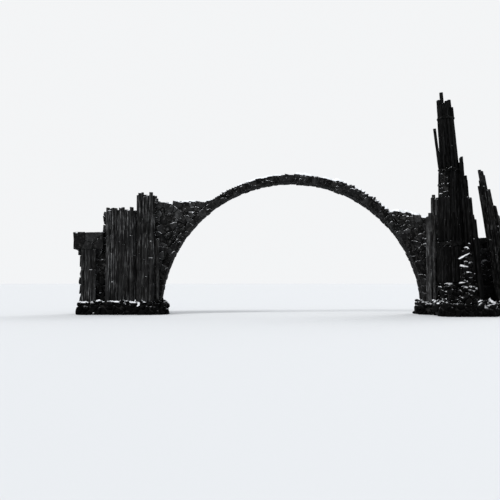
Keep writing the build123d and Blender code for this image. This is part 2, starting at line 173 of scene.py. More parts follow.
def stone_material(
    name, dark, light, frost, uneven=0.0, streaked=False, rimed=0.0, gloss=0.06, darkening_heights=None, bottom_brightness=0.4
):
    """Weathered stone: tone by stone, stains, lichen, frost on what faces up, a rough surface.

    uneven is how much the frost differs from stone to stone. The stains of streaked stone run up
    and down, and rimed is the strength of the fine bright streaks that run down frozen columns.
    The last two arguments give two heights, between which the stone is darker towards the bottom,
    from its full tone down to the given share of its brightness, and below which no frost lies.
    """
    s = Shader(name)
    place = s.place()
    along = s.drawn_out(place, 0.12) if streaked else place
    geometry = s.node("ShaderNodeNewGeometry")
    own = geometry.outputs["Random Per Island"]
    up = s.upward(geometry.outputs["Normal"])
    stain = s.noise(along, 7.0 if streaked else 2.3, 6.0, 0.6)
    rime = s.noise(along, 16.0 if streaked else 6.5, 7.0, 0.68)
    grain = s.noise(place, 55.0, 4.0, 0.7)

    tone = s.mix(s.math("POWER", own, 1.8), grey(dark, 0.02), grey(light, -0.01))
    tone = s.mix(s.ramp(stain, 0.35, 0.65, 0.0, 0.85), tone, grey(dark * 0.4, 0.03))
    tone = s.mix(s.ramp(rime, 0.53, 0.72, 0.0, 0.75), tone, grey(light * 2.4, 0.01))
    tone = s.mix(s.ramp(grain, 0.35, 0.65, 0.0, 0.55), tone, grey(dark * 0.5))
    if rimed:
        streak = s.ramp(s.noise(s.drawn_out(place, 0.035), 26.0, 3.0, 0.6), 0.56, 0.70, 0.0, rimed)
        broken = s.ramp(s.noise(place, 1.1, 3.0), 0.42, 0.62)
        tone = s.mix(s.math("MULTIPLY", streak, broken), tone, grey(light * 7.0))

    patches = s.ramp(s.noise(place, 4.2, 6.0, 0.65), 0.3, 0.7, -0.6, 0.6)
    flecks = s.ramp(s.noise(place, 17.0, 3.0, 0.6), 0.35, 0.65, -0.35, 0.35)
    drift = s.math("ADD", patches, flecks)
    if uneven:
        drift = s.math("ADD", drift, s.ramp(own, 0.0, 1.0, -uneven, uneven))
    facing = s.math("ADD", s.ramp(up, 0.12, 0.80), drift)
    cover = s.ramp(facing, 0.95 - frost, 1.15 - frost)
    cover = s.math("MULTIPLY", cover, s.ramp(up, 0.02, 0.35))
    # Darker towards the bottom between the two given heights, and no frost below them
    if darkening_heights:
        height = s.math("ADD", s.upward(place), s.ramp(stain, 0.3, 0.7, -0.2, 0.2))
        tone = s.mix(s.ramp(height, *darkening_heights, 1.0, 0.0), tone, grey(bottom_brightness), "MULTIPLY")
        cover = s.math("MULTIPLY", cover, s.ramp(height, *darkening_heights))

    rough = s.math("ADD", s.noise(place, 8.0, 9.0, 0.7), s.math("MULTIPLY", grain, 0.25))
    return s.set(
        Base_Color=s.mix(cover, tone, SNOW),
        Roughness=s.ramp(rime, 0.3, 0.8, 0.95, 0.74),
        Specular_IOR_Level=gloss,
        Normal=s.bump(rough, 1.0, 0.07),
    )


def mortar_material(name):
    """Dark sandy mortar and packed earth between the stones."""
    s = Shader(name)
    place = s.place()
    tone = s.mix(s.noise(place, 6.0, 6.0, 0.6), grey(0.006, 0.04), grey(0.022, 0.03))
    normal = s.bump(s.noise(place, 45.0, 5.0, 0.7), 0.6, 0.02)
    return s.set(Base_Color=tone, Roughness=0.95, Specular_IOR_Level=0.15, Normal=normal)


def snow_material(name):
    """Thin settled snow with a soft uneven surface."""
    s = Shader(name)
    place = s.place()
    tone = s.mix(s.noise(place, 3.0, 5.0), (0.74, 0.76, 0.79, 1.0), (0.86, 0.87, 0.88, 1.0))
    normal = s.bump(s.noise(place, 14.0, 6.0, 0.6), 0.35, 0.03)
    return s.set(Base_Color=tone, Roughness=0.7, Normal=normal)


# Each stone: its darkest and lightest tone, and how much frost it takes
rubble_stone = stone_material("rubble_stone", 0.008, 0.070, 0.10, uneven=0.35, darkening_heights=(1.0, 5.5), bottom_brightness=0.25)
ring_stone = stone_material("ring_stone", 0.004, 0.046, 0.10, uneven=0.35, darkening_heights=(0.5, 5.0))
path_stone = stone_material("path_stone", 0.012, 0.055, 0.50)
footing_stone = stone_material(
    "footing_stone", 0.002, 0.014, -0.05, uneven=0.5, darkening_heights=(0.45, 0.85), bottom_brightness=0.2
)
mound_stone = stone_material("mound_stone", 0.0015, 0.011, -0.08, uneven=0.7)
plinth_stone = stone_material("plinth_stone", 0.0015, 0.011, -0.14, uneven=0.55)
bed_stone = stone_material("bed_stone", 0.002, 0.011, -0.40)
stack_stone = stone_material("stack_stone", 0.002, 0.014, 0.0, uneven=0.5)
cap_stone = stone_material("cap_stone", 0.007, 0.037, -0.10)
basalt = stone_material("basalt", 0.0022, 0.017, -0.05, streaked=True, gloss=0.03)
basalt_streaked = stone_material(
    "basalt_streaked", 0.002, 0.026, -0.05, streaked=True, rimed=1.0, gloss=0.03
)
basalt_rimed = stone_material("basalt_rimed", 0.008, 0.046, 0.0, streaked=True, rimed=0.9)
basalt_frosted = stone_material("basalt_frosted", 0.012, 0.070, 0.0, streaked=True, rimed=0.9)
mortar_dark = mortar_material("mortar_dark")
snow = snow_material("snow")


# Pieces


def make_piece(name, corners, faces, material, replaced=(), sharp=38):
    """A mesh object that rides on the bridge. Edges past the angle sharp stay crisp."""
    mesh = bpy.data.meshes.new(name)
    mesh.from_pydata([(x, y, max(z, 0.0)) for x, y, z in corners], [], faces)
    mesh.validate()
    mesh.materials.append(material)
    mesh.shade_smooth()
    mesh.set_sharp_from_angle(angle=math.radians(sharp))
    piece = bpy.data.objects.new(name, mesh)
    bpy.context.scene.collection.objects.link(piece)
    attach(piece, "root")
    if replaced:
        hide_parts(*replaced)


def cad_bmesh(node):
    """A welded copy of a CAD node's mesh."""
    bm = bmesh.new()
    bm.from_mesh(nodes[node].data)
    bmesh.ops.remove_doubles(bm, verts=bm.verts, dist=1e-5)
    bm.normal_update()
    return bm


def tree_of(meshes):
    """The surfaces of several meshes as one search tree."""
    corners, faces = [], []
    for mesh in meshes:
        start = len(corners)
        corners.extend(v.co.copy() for v in mesh.vertices)
        faces.extend([start + k for k in polygon.vertices] for polygon in mesh.polygons)
    return BVHTree.FromPolygons(corners, faces)


# How far a sharp corner of the mortar may move, as a share of the inset
SHARP_MOVE = 1.7


def mortar(node, inset):
    """The mortar behind the stones: the CAD solid, a little smaller."""
    bm = cad_bmesh(node)
    moves = [v.normal * min(v.calc_shell_factor(), SHARP_MOVE) * inset for v in bm.verts]
    for vertex, move in zip(bm.verts, moves):
        vertex.co -= move
    bmesh.ops.triangulate(bm, faces=bm.faces)
    corners = [tuple(v.co) for v in bm.verts]
    faces = [[v.index for v in f.verts] for f in bm.faces]
    bm.free()
    make_piece(node + "_mortar", corners, faces, mortar_dark)


# One stone

# Faces that meet at less than FLAT_ANGLE degrees become one, faces over LARGE_FACE in area get a
# corner in the middle, and edges over SPLIT_LENGTH are split
FLAT_ANGLE = 9
LARGE_FACE = 0.012
SPLIT_LENGTH = 0.16

# The unevenness of the surface: bumps to the metre, how much finer the fine ones are, and the
# heights of both as shares of the chamfer
BUMPS = 4.0
FINER = 2.7
COARSE_HEIGHT = 0.8
FINE_HEIGHT = 0.4


def made_anew(bm):
    """A copy of a mesh, in which the order of later parts is the same on every run."""
    bm.verts.index_update()
    copy = bmesh.new()
    corners = [copy.verts.new(v.co) for v in bm.verts]
    for face in bm.faces:
        copy.faces.new([corners[v.index] for v in face.verts])
    bm.free()
    return copy


def add_stone(corners, middle, chamfer, rng, all_corners, all_faces, rounding=0):
    """One stone from its corners: edges knocked off, faces a little uneven, and rounded if asked."""
    bm = bmesh.new()
    for corner in corners:
        bm.verts.new(corner)
    bmesh.ops.remove_doubles(bm, verts=bm.verts, dist=chamfer * 1.1)
    if len(bm.verts) < 4:
        bm.free()
        return
    hull = bmesh.ops.convex_hull(bm, input=bm.verts)
    spare = set(hull["geom_interior"] + hull["geom_unused"])
    bmesh.ops.delete(bm, geom=[v for v in bm.verts if v in spare], context="VERTS")
    bmesh.ops.dissolve_limit(bm, angle_limit=math.radians(FLAT_ANGLE), verts=bm.verts, edges=bm.edges)
    bmesh.ops.bevel(
        bm, geom=bm.edges[:], offset=chamfer, segments=1, profile=0.6, affect="EDGES", clamp_overlap=True
    )
    bm = made_anew(bm)
    poked = bmesh.ops.poke(bm, faces=[f for f in bm.faces if f.calc_area() > LARGE_FACE])
    bm.normal_update()
    for vertex in poked["verts"]:
        vertex.co += vertex.normal * rng.uniform(-0.5, 0.9) * chamfer
    long = [e for e in bm.edges if e.calc_length() > SPLIT_LENGTH]
    bmesh.ops.subdivide_edges(bm, edges=long, cuts=1, use_grid_fill=False)
    bmesh.ops.triangulate(bm, faces=[f for f in bm.faces if len(f.verts) > 4])
    for _ in range(rounding):
        bmesh.ops.smooth_vert(
            bm, verts=bm.verts, factor=0.5, use_axis_x=True, use_axis_y=True, use_axis_z=True
        )
    for vertex in bm.verts:
        place = (vertex.co + middle) * BUMPS
        coarse = noise.noise_vector(place) * chamfer * COARSE_HEIGHT
        fine = noise.noise_vector(place * FINER) * chamfer * FINE_HEIGHT
        vertex.co += coarse + fine
    start = len(all_corners)
    bm.verts.index_update()
    all_corners.extend(tuple(v.co + middle) for v in bm.verts)
    all_faces.extend([v.index + start for v in f.verts] for f in bm.faces)
    bm.free()


# Rubble: the cells about the points of an uneven lattice, cut back from each other and by the
# surface of the CAD solid

# A stone ends half way to each of its nearest neighbours, and CELL_LIMIT from its seed at most.
# Seeds closer than LEAST_SPACING don't cut each other's stones.
CELL_LIMIT = 0.75
CELL_BOX = np.vstack([np.eye(3), -np.eye(3)])
NEIGHBOURS = 16
LEAST_SPACING = 0.03

# Seeds lie at least SEED_DEPTH inside the skin. A face of the skin cuts a stone if the seed lies
# SKIN_DEPTH inside it and no nearer face looks the same way, by the cosine of the angle between
# them.
SEED_DEPTH = 0.015
SKIN_DEPTH = 0.004
SAME_WAY = 0.95

# The stone's own face is at least LEAST_DEPTH from the seed. Calm faces lean by a share of the
# tilt only, and so does the underside at water level, which hardly stands out or back.
LEAST_DEPTH = 0.012
CALM_LEAN = 0.3
UNDERSIDE_PROUD = (-0.004, 0.0)
UNDERSIDE_HEIGHT = 0.02
UNDERSIDE_FACING = 0.9

# A stone with a corner that stands out of the skin by CUT_PAST more than its faces may is cut by
# the skin there as well, in up to CUT_ATTEMPTS goes. If a corner is still LOST_PAST out after
# them, the stone is left out.
CUT_PAST = 0.035
CUT_ATTEMPTS = 6
LOST_PAST = 0.12


@functools.cache
def triples(count):
    """All the ways to pick three of a number of planes."""
    return np.array(list(itertools.combinations(range(count), 3)))


def corners_within(normals, reaches):
    """The corners of the body that lies within all the planes."""
    picks = triples(len(reaches))
    sides = normals[picks]
    volume = np.einsum("ij,ij->i", sides[:, 0], np.cross(sides[:, 1], sides[:, 2]))
    usable = np.abs(volume) > 1e-3
    corners = np.linalg.solve(sides[usable], reaches[picks][usable][..., None])[..., 0]
    inside = (corners @ normals.T <= reaches + 1e-6).all(axis=1)
    return corners[inside]


def well_inside(skin, seeds):
    """The seeds that lie well inside the skin."""
    kept = []
    for seed in seeds:
        spot, normal, _, _ = skin.find_nearest(seed)
        if (Vector(seed) - spot).dot(normal) < -SEED_DEPTH:
            kept.append(seed)
    return np.array(kept)


def skin_planes(skin, point, reach):
    """The skin's faces near a point: their normals, and how far the point is inside each."""
    found = []
    for spot, normal, _, _ in sorted(skin.find_nearest_range(point, reach), key=lambda hit: hit[3]):
        depth = (spot - point).dot(normal)
        if depth > SKIN_DEPTH and all(normal.dot(known) < SAME_WAY for known, _ in found):
            found.append((normal.copy(), depth))
    return found


def neighbour_planes(points, point, gap):
    """The planes between a stone and its neighbours: their normals, and how far off each is."""
    away = points - point
    distance = np.linalg.norm(away, axis=1)
    near = np.argsort(distance)[1 : NEIGHBOURS + 1]
    near = near[(distance[near] < 2.6 * CELL_LIMIT) & (distance[near] > LEAST_SPACING)]
    return away[near] / distance[near][:, None], distance[near] / 2 - gap / 2


def farthest_out(skin, middle, corners, allowed):
    """The skin's face that a corner passes the farthest, if by more than is allowed, and how far."""
    out, worst = None, allowed
    for corner in corners:
        spot, normal, _, _ = skin.find_nearest(middle + Vector(corner))
        beyond = (middle + Vector(corner) - spot).dot(normal)
        if beyond > worst:
            out, worst = (normal.copy(), (spot - middle).dot(normal)), beyond
    return out, worst


def on_ground(middle, normal, depth):
    """Whether a face of the skin is the underside that stands at water level."""
    return middle.z - depth < UNDERSIDE_HEIGHT and normal.z < -UNDERSIDE_FACING


def rubble(
    node,
    seeds,
    material,
    rng,
    gap=0.03,
    proud=(-0.03, 0.05),
    chamfer=0.028,
    reach=0.5,
    tilt=0.09,
    rounding=0,
    slot="rubble_masonry",
    calm=None,
):
    """Stones that fill the skin of a CAD node, one about each seed inside it.

    proud is the range by which faces stand out of the skin, and calm gives a narrower range for
    some faces. The skin's faces within reach of a seed cut its stone.
    """
    bm = cad_bmesh(node)
    bmesh.ops.triangulate(bm, faces=bm.faces)
    skin = BVHTree.FromBMesh(bm)
    bm.free()

    def outer_face(middle, normal, depth):
        """A stone's face along the skin, leaning a little and standing out or back."""
        spread = proud if calm is None else calm(middle + normal * depth) or proud
        if on_ground(middle, normal, depth):
            spread = UNDERSIDE_PROUD
        lean = Vector([rng.uniform(-tilt, tilt) for _ in range(3)])
        if spread is not proud:
            lean *= CALM_LEAN
        return (normal + lean).normalized(), max(depth + rng.uniform(*spread), LEAST_DEPTH)

    points = well_inside(skin, seeds)
    all_corners, all_faces = [], []
    for point in points:
        middle = Vector(point)
        planes = skin_planes(skin, middle, reach)
        if all(on_ground(middle, normal, depth) for normal, depth in planes):
            continue
        outer = [outer_face(middle, normal, depth) for normal, depth in planes]
        walls, halves = neighbour_planes(points, point, gap)
        for attempt in range(CUT_ATTEMPTS):
            normals = np.vstack([np.array([normal for normal, _ in outer]), walls, CELL_BOX])
            reaches = np.concatenate([[depth for _, depth in outer], halves, np.full(6, CELL_LIMIT)])
            corners = corners_within(normals, reaches)
            out, worst = farthest_out(skin, middle, corners, proud[1] + CUT_PAST)
            if out is None or attempt == CUT_ATTEMPTS - 1:
                break
            outer.append(outer_face(middle, *out))
        if worst < proud[1] + LOST_PAST and len(corners) >= 4:
            add_stone(corners, middle, chamfer, rng, all_corners, all_faces, rounding)
    make_piece(node + "_stones", all_corners, all_faces, material, (node,))


# Seeds of the stones

# Jitters are shares of the spacing. Where a seed is missing the stones beside it grow longer, and
# an extra one makes a small stone above a joint.
COURSE_JITTER = (0.34, 0.12, 0.26)
MISSING_STONES = 0.14
EXTRA_STONES = 0.22
EXTRA_JITTER = 0.15
PATH_JITTER = (0.14, 0.16)

# The ring's voussoirs, in three lanes through its width
RING_END_ANGLE = 88.0
VOUSSOIR_ANGLES = (1.9, 3.3)
RING_LANES = (-0.66, 0.0, 0.66)
WHOLE_VOUSSOIRS = 0.5


def lattice(low, high, spacing, rng):
    """Uneven coursed points in a box: along X, through Y and up Z."""
    counts = [max(1, round((high[k] - low[k]) / spacing[k])) for k in range(3)]
    steps = [(high[k] - low[k]) / counts[k] for k in range(3)]

    def place(*shares):
        return tuple(low[k] + shares[k] * steps[k] for k in range(3))

    points = []
    for c in range(counts[2]):
        shift = rng.uniform(0, 1)
        for b, a in itertools.product(range(counts[1]), range(-1, counts[0] + 1)):
            if rng.random() < MISSING_STONES:
                continue
            along = a + 0.5 + shift + rng.uniform(-COURSE_JITTER[0], COURSE_JITTER[0])
            through = b + 0.5 + rng.uniform(-COURSE_JITTER[1], COURSE_JITTER[1])
            up = c + 0.5 + rng.uniform(-COURSE_JITTER[2], COURSE_JITTER[2])
            points.append(place(along, through, up))
            if rng.random() < EXTRA_STONES:
                along = a + 1.0 + shift + rng.uniform(-EXTRA_JITTER, EXTRA_JITTER)
                up = c + 0.9 + rng.uniform(-EXTRA_JITTER, EXTRA_JITTER)
                points.append(place(along, through, up))
    return points


def arc_point(angle, radius, y):
    """A point about the arch's centre, at an angle from the crown in degrees."""
    turn = math.radians(angle)
    return (ARCH_X + radius * math.sin(turn), ARCH_Y + y, radius * math.cos(turn))


def ring_seeds(rng):
    """Rough voussoirs: some the full depth of the ring, some in two."""

    def seed(angle, low, high, y):
        return arc_point(angle, INTRADOS + RING_THICKNESS * rng.uniform(low, high), y)

    points = []
    angle = -RING_END_ANGLE
    while angle < RING_END_ANGLE:
        step = rng.uniform(*VOUSSOIR_ANGLES)
        for lane in RING_LANES:
            y = lane * HALF_WIDTH + rng.uniform(-0.06, 0.06)
            middle = angle + step / 2 + rng.uniform(-0.5, 0.5)
            if rng.random() < WHOLE_VOUSSOIRS:
                points.append(seed(middle, 0.42, 0.58, y))
            else:
                points.append(seed(middle - 0.3, 0.2, 0.3, y))
                points.append(seed(middle + 0.3, 0.7, 0.8, y))
        angle += step
    return points


def path_seeds(first, last, step, lift, lanes, rng):
    """Paving stones a little above the ring's back, in lanes across the width."""
    points = []
    count = max(1, round(abs(last - first) / step))
    for i, lane in itertools.product(range(count), range(lanes)):
        angle = first + (last - first) * (i + 0.5 + rng.uniform(-PATH_JITTER[0], PATH_JITTER[0])) / count
        y = ((lane + 0.5 + rng.uniform(-PATH_JITTER[1], PATH_JITTER[1])) / lanes * 2 - 1) * HALF_WIDTH
        points.append(arc_point(angle, EXTRADOS + lift, y))
    return points


# Ring, walls, footway and beds of stone


def wall_stones(node, spacing, seed, material=rubble_stone, inset=0.08, **options):
    """Coursed rubble for one wall node, with its mortar."""
    rng = random.Random(seed)
    low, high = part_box(node)
    rubble(node, lattice(low, high, spacing, rng), material, rng, **options)
    mortar(node, inset)


SOFFIT_PROUD = (-0.02, 0.012)
SOFFIT_DEPTH = 0.1


def calm_soffit(spot):
    """Keeps the arch's underside close to its true circle."""
    radius = math.hypot(spot.x - ARCH_X, spot.z)
    return SOFFIT_PROUD if radius < INTRADOS + SOFFIT_DEPTH else None


ring_rng = random.Random(11)
rubble("arch_ring", ring_seeds(ring_rng), ring_stone, ring_rng, gap=0.024, tilt=0.18, calm=calm_soffit)
mortar("arch_ring", 0.03)

WALL_SPACING = (0.44, 0.47, 0.31)
WALL = dict(proud=(-0.06, 0.08), tilt=0.24, gap=0.035)
for order, node in enumerate(("left_abutment", "left_approach_wall", "left_end_pier", "right_approach_wall")):
    wall_stones(node, WALL_SPACING, 20 + order, **WALL)
wall_stones("right_abutment", (0.34, 0.40, 0.26), 26, **WALL)
wall_stones("left_end_cap", (0.9, 0.9, 0.5), 30, cap_stone, proud=(-0.01, 0.015), gap=0.018, tilt=0.02)

path_rng = random.Random(41)
rubble(
    "crown_path",
    path_seeds(-PATH_HALF_ANGLE, PATH_HALF_ANGLE, 2.4, 0.025, 3, path_rng),
    path_stone,
    path_rng,
    proud=(-0.02, 0.02),
    chamfer=0.018,
    reach=0.4,
    slot="path_stone",
)
mortar("crown_path", 0.012)

# Each flight: its side, angles, the lift of its stones' middles above the ring's back, the range
# by which they stand out and how far the mortar stands back
FLIGHTS = (
    ("left_flight", -1, LEFT_HAUNCH_ANGLE, LEFT_STEP_ANGLE, 0.035, (-0.02, 0.03), 0.006),
    ("right_flight", 1, RIGHT_HAUNCH_ANGLE, RIGHT_STEP_ANGLE, 0.10, (-0.05, 0.07), 0.035),
)
for node, side, haunch, step, lift, proud, inset in FLIGHTS:
    flight_rng = random.Random(50 + side)
    rubble(
        node,
        path_seeds(side * haunch, side * PATH_HALF_ANGLE, step, lift, 4, flight_rng),
        path_stone,
        flight_rng,
        proud=proud,
        chamfer=0.02,
        reach=0.4,
        slot="path_stone",
    )
    mortar(node, inset)

ROCKY = dict(proud=(-0.08, 0.09), chamfer=0.05, tilt=0.3, gap=0.03, rounding=2, inset=0.16)
for order, node in enumerate(("left_footing", "right_footing")):
    wall_stones(node, (0.46, 0.44, 0.27), 60 + order, footing_stone, slot="footing_rock", reach=0.34, **ROCKY)
wall_stones("spire_plinth", (0.36, 0.36, 0.25), 70, plinth_stone, **ROCKY)
wall_stones("spire_mound", (0.34, 0.34, 0.25), 71, mound_stone, slot="footing_rock", **ROCKY)

BED = dict(proud=(-0.05, 0.04), chamfer=0.03, tilt=0.12)
wall_stones("spire_lower_bed", (0.34, 0.34, 0.15), 72, bed_stone, inset=0.06, **BED)
wall_stones("spire_middle_bed", (0.30, 0.30, 0.14), 73, bed_stone, inset=0.03, **BED)
wall_stones("spire_upper_bed", (0.28, 0.28, 0.14), 74, bed_stone, inset=0.03, **BED)
wall_stones("spire_stack", (0.30, 0.30, 0.16), 75, stack_stone, **BED)


# Loose rock: boulders heaped on the footings and slabs leaning on the spire

# Boulders drop from DROP_HEIGHT and sink in by a share of their height. Their middles stay a
# share of their width away from walls and columns.
DROP_HEIGHT = 9.0
BOULDER_CORNERS = 15
FLATTENING = 0.8
SINKING = (0.1, 0.7)
CLEARANCE = 0.55

# Each heap: a middle and half-size in the plan about the arch's centre, how many boulders and
# their half-sizes
HEAPS = (
    ((8.35, -2.2), (0.5, 0.55), 26, (0.10, 0.26)),
    ((8.9, -3.0), (0.8, 0.42), 40, (0.09, 0.26)),
    ((10.1, -3.25), (0.7, 0.35), 34, (0.10, 0.28)),
    ((11.35, -2.2), (0.45, 0.8), 26, (0.12, 0.30)),
    ((12.7, -2.85), (0.8, 0.2), 14, (0.10, 0.24)),
    ((8.1, -1.0), (0.22, 0.2), 9, (0.10, 0.20)),
    ((7.85, 0.0), (0.12, 0.6), 9, (0.08, 0.18)),
    ((-7.85, 0.0), (0.12, 0.6), 9, (0.08, 0.18)),
    ((-8.0, -1.25), (0.25, 0.12), 6, (0.10, 0.18)),
    ((-10.6, -1.28), (1.8, 0.10), 22, (0.08, 0.17)),
    ((9.5, 1.25), (1.2, 0.12), 14, (0.09, 0.18)),
)

# Each slab: middle about the arch's centre, size, and turn about the Y, X and Z axes
SLABS = (
    ((9.74, -3.02, 3.42), (0.74, 0.34, 0.11), (-31, 8, 6)),
    ((9.05, -2.42, 8.52), (0.62, 0.22, 0.12), (-38, 0, -4)),
    ((10.0, -3.3, 2.45), (0.5, 0.36, 0.12), (14, 12, 30)),
    ((9.6, -3.35, 1.9), (0.55, 0.4, 0.14), (-12, 16, -20)),
)


def boulder(middle, size, rng, all_corners, all_faces):
    """A rounded block with irregular facets."""
    corners = []
    for _ in range(BOULDER_CORNERS):
        way = Vector([rng.gauss(0, 1) for _ in range(3)]).normalized()
        corners.append([way[k] * size[k] * rng.uniform(0.85, 1.0) for k in range(3)])
    add_stone(corners, middle, 0.16 * min(size), rng, all_corners, all_faces, rounding=1)


def slab(middle, size, turn, rng, all_corners, all_faces):
    """A broken slab, turned as given."""
    corners = []
    for signs in itertools.product((-1, 1), repeat=3):
        corner = Vector([signs[k] * size[k] / 2 * rng.uniform(0.82, 1.0) for k in range(3)])
        corners.append(turn @ corner)
    add_stone(corners, middle, 0.18 * min(size), rng, all_corners, all_faces)


def heaps(seed):
    """Boulders dropped on the rock below them, clear of walls and columns."""
    rng = random.Random(seed)
    rock = ("left_footing", "right_footing", "spire_plinth", "spire_mound")
    upright = [node for node in nodes if "column" in node or "tier" in node or "wall" in node]
    ground = tree_of(nodes[node].data for node in rock)
    standing = tree_of(nodes[node].data for node in upright)
    all_corners, all_faces = [], []
    for (x, y), (reach_x, reach_y), count, (least, most) in HEAPS:
        for _ in range(count):
            size = [rng.uniform(least, most) * rng.uniform(0.8, 1.1) for _ in range(3)]
            size[2] *= FLATTENING
            across = ARCH_X + x + rng.uniform(-1, 1) * reach_x
            along = ARCH_Y + y + rng.uniform(-1, 1) * reach_y
            hit = ground.ray_cast(Vector((across, along, DROP_HEIGHT)), DOWN)[0]
            if hit is None:
                continue
            middle = hit + Vector((0, 0, size[2] * rng.uniform(*SINKING)))
            if standing.find_nearest(middle)[3] < CLEARANCE * max(size[0], size[1]):
                continue
            boulder(middle, size, rng, all_corners, all_faces)
    make_piece("loose_boulders", all_corners, all_faces, mound_stone, ())


def slabs(seed):
    """Broken slabs that lean on the spire and its mound."""
    rng = random.Random(seed)
    all_corners, all_faces = [], []
    for middle, size, (about_y, about_x, about_z) in SLABS:
        turn = (
            Matrix.Rotation(math.radians(about_z), 3, "Z")
            @ Matrix.Rotation(math.radians(about_y), 3, "Y")
            @ Matrix.Rotation(math.radians(about_x), 3, "X")
        )
        place = Vector((ARCH_X, ARCH_Y, 0)) + Vector(middle)
        slab(place, size, turn, rng, all_corners, all_faces)
    make_piece("leaning_slabs", all_corners, all_faces, mound_stone, ())


heaps(80)
slabs(81)


# Basalt columns

# A column's drums: their lengths, how far their joints stray as a share of that, and how much
# each is shifted, swollen and tilted
DRUM_LENGTHS = (0.8, 1.7)
JOINT_JITTER = 0.25
DRUM_SHIFT = 0.007
DRUM_SWELL = (0.955, 1.03)
DRUM_TILT = 0.03

# A drum's outlines: their spacing, how much each is shifted and swollen, and the share of the
# width that is left at the lips of its joints
OUTLINE_SPACING = 0.35
OUTLINE_SHIFT = 0.004
OUTLINE_SWELL = 0.018
JOINT_LIP = 0.018
LOWER_LIP_SHARE = 0.91
UPPER_LIP_SHARE = 0.90

# What is knocked off a column's corners, as a share of its sides, and how its top breaks
CORNER_KNOCK = 0.11
TOP_BREAK = (-0.01, 0.03)


def middle_of(part):
    """The middle of a loose part's corners."""
    corners = sorted({tuple(v.co) for face in part for v in face.verts})
    return np.mean(corners, axis=0)


def islands(bm):
    """The faces of each loose part, the parts in order of their middles."""
    seen, found = set(), []
    for first in bm.faces:
        if first not in seen:
            seen.add(first)
            part = [first]
            for face in part:
                for edge in face.edges:
                    for other in edge.link_faces:
                        if other not in seen:
                            seen.add(other)
                            part.append(other)
            found.append(part)
    return sorted(found, key=lambda part: tuple(round(c, 4) for c in middle_of(part)))


def column_edges(part):
    """The feet and the heads of a straight column's upright edges, in order about it."""
    foot = min(part, key=lambda f: f.calc_center_median().z)
    head = max(part, key=lambda f: f.calc_center_median().z)
    heads = set(head.verts)
    pairs = []
    for vertex in foot.verts:
        for edge in vertex.link_edges:
            other = edge.other_vert(vertex)
            if other in heads:
                pairs.append((np.array(vertex.co), np.array(other.co)))
                break
    centre = sum(a for a, b in pairs) / len(pairs)
    return sorted(pairs, key=lambda pair: math.atan2(pair[0][1] - centre[1], pair[0][0] - centre[0]))


def sideways(reach, rng):
    """A small level shift."""
    return np.array([rng.uniform(-reach, reach), rng.uniform(-reach, reach), 0.0])


def drum_rings(feet, heads, rng):
    """The outlines of a column with their middles, foot to head, drum by drum.

    Each drum is shifted, swollen and tilted a little, and narrows to a lip at its cross joints.
    """
    length = np.linalg.norm(heads.mean(0) - feet.mean(0))
    drums = max(1, round(length / rng.uniform(*DRUM_LENGTHS)))
    cuts = [(k + rng.uniform(-JOINT_JITTER, JOINT_JITTER)) / drums for k in range(1, drums)]
    lip = JOINT_LIP / length
    rings = []
    for start, end in zip([0.0, *cuts], [*cuts, 1.0]):
        shift = sideways(DRUM_SHIFT, rng)
        swell = rng.uniform(*DRUM_SWELL)
        tilt = rng.uniform(-DRUM_TILT, DRUM_TILT), rng.uniform(-DRUM_TILT, DRUM_TILT)
        count = max(2, round((end - start) * length / OUTLINE_SPACING))
        body = [(share, 1.0) for share in np.linspace(start + lip, end - lip, count)]
        for share, size in [(start, LOWER_LIP_SHARE), *body, (end, UPPER_LIP_SHARE)]:
            outline = feet + (heads - feet) * share
            middle = outline.mean(0)
            spread = (outline - middle) * (swell * size + rng.uniform(-OUTLINE_SWELL, OUTLINE_SWELL))
            middle = middle + sideways(OUTLINE_SHIFT, rng)
            spread[:, 2] += spread[:, 0] * tilt[0] + spread[:, 1] * tilt[1]
            if share == 0.0:
                spread[:, 2] = 0.0
            rings.append((middle + shift + spread, middle + shift))
    return rings


def rough_column(pairs, rng, corners, faces):
    """One column as drums between cross joints, with knocked corners and an uneven break on top."""
    rings = drum_rings(np.array([a for a, b in pairs]), np.array([b for a, b in pairs]), rng)
    sides = len(pairs)
    start = len(corners)
    for outline, _ in rings:
        for k in range(sides):
            here, before, after = outline[k], outline[k - 1], outline[(k + 1) % sides]
            corners.append(tuple(here + (before - here) * CORNER_KNOCK))
            corners.append(tuple(here + (after - here) * CORNER_KNOCK))
    count = 2 * sides
    for r, k in itertools.product(range(len(rings) - 1), range(count)):
        a = start + r * count + k
        b = start + r * count + (k + 1) % count
        faces.append((a, b, b + count, a + count))
    last = start + (len(rings) - 1) * count
    top = len(corners)
    corners.append(tuple(rings[-1][1] + np.array([0.0, 0.0, rng.uniform(*TOP_BREAK)])))
    for k in range(count):
        faces.append((last + k, last + (k + 1) % count, top))
    faces.append(tuple(start + k for k in reversed(range(count))))


def columns(node, seed, material):
    """Rough columns in place of a CAD node's straight ones."""
    rng = random.Random(seed)
    bm = cad_bmesh(node)
    bmesh.ops.dissolve_limit(bm, angle_limit=math.radians(1), verts=bm.verts, edges=bm.edges)
    bm.normal_update()
    corners, faces = [], []
    for part in islands(bm):
        pairs = column_edges(part)
        if len(pairs) >= 3:
            rough_column(pairs, rng, corners, faces)
    bm.free()
    make_piece(node + "_rough", corners, faces, material, (node,), 24)


BASALT_OF = (
    ("left", basalt_rimed),
    ("right", basalt_frosted),
    ("cluster", basalt_streaked),
    ("spire", basalt),
)
COLUMN_NODES = [n for n in sorted(nodes) if "column" in n or n.endswith("_tier")]
for order, node in enumerate(COLUMN_NODES):
    columns(node, 100 + order, next(stone for start, stone in BASALT_OF if node.startswith(start)))

# The hidden rubble hearts of the spire keep their shape
for node in ("spire_lower_core", "spire_middle_core", "spire_upper_core"):
    nodes[node].data.materials.clear()
    nodes[node].data.materials.append(mortar_dark)


# Settled snow

# Snow thinner than THINNEST_SNOW is left out, the rim keeps a share of its depth, and SNOW_ROOT is
# how far it reaches into the stone
THINNEST_SNOW = 0.004
RIM_SHARE = 0.2
SNOW_ROOT = 0.03

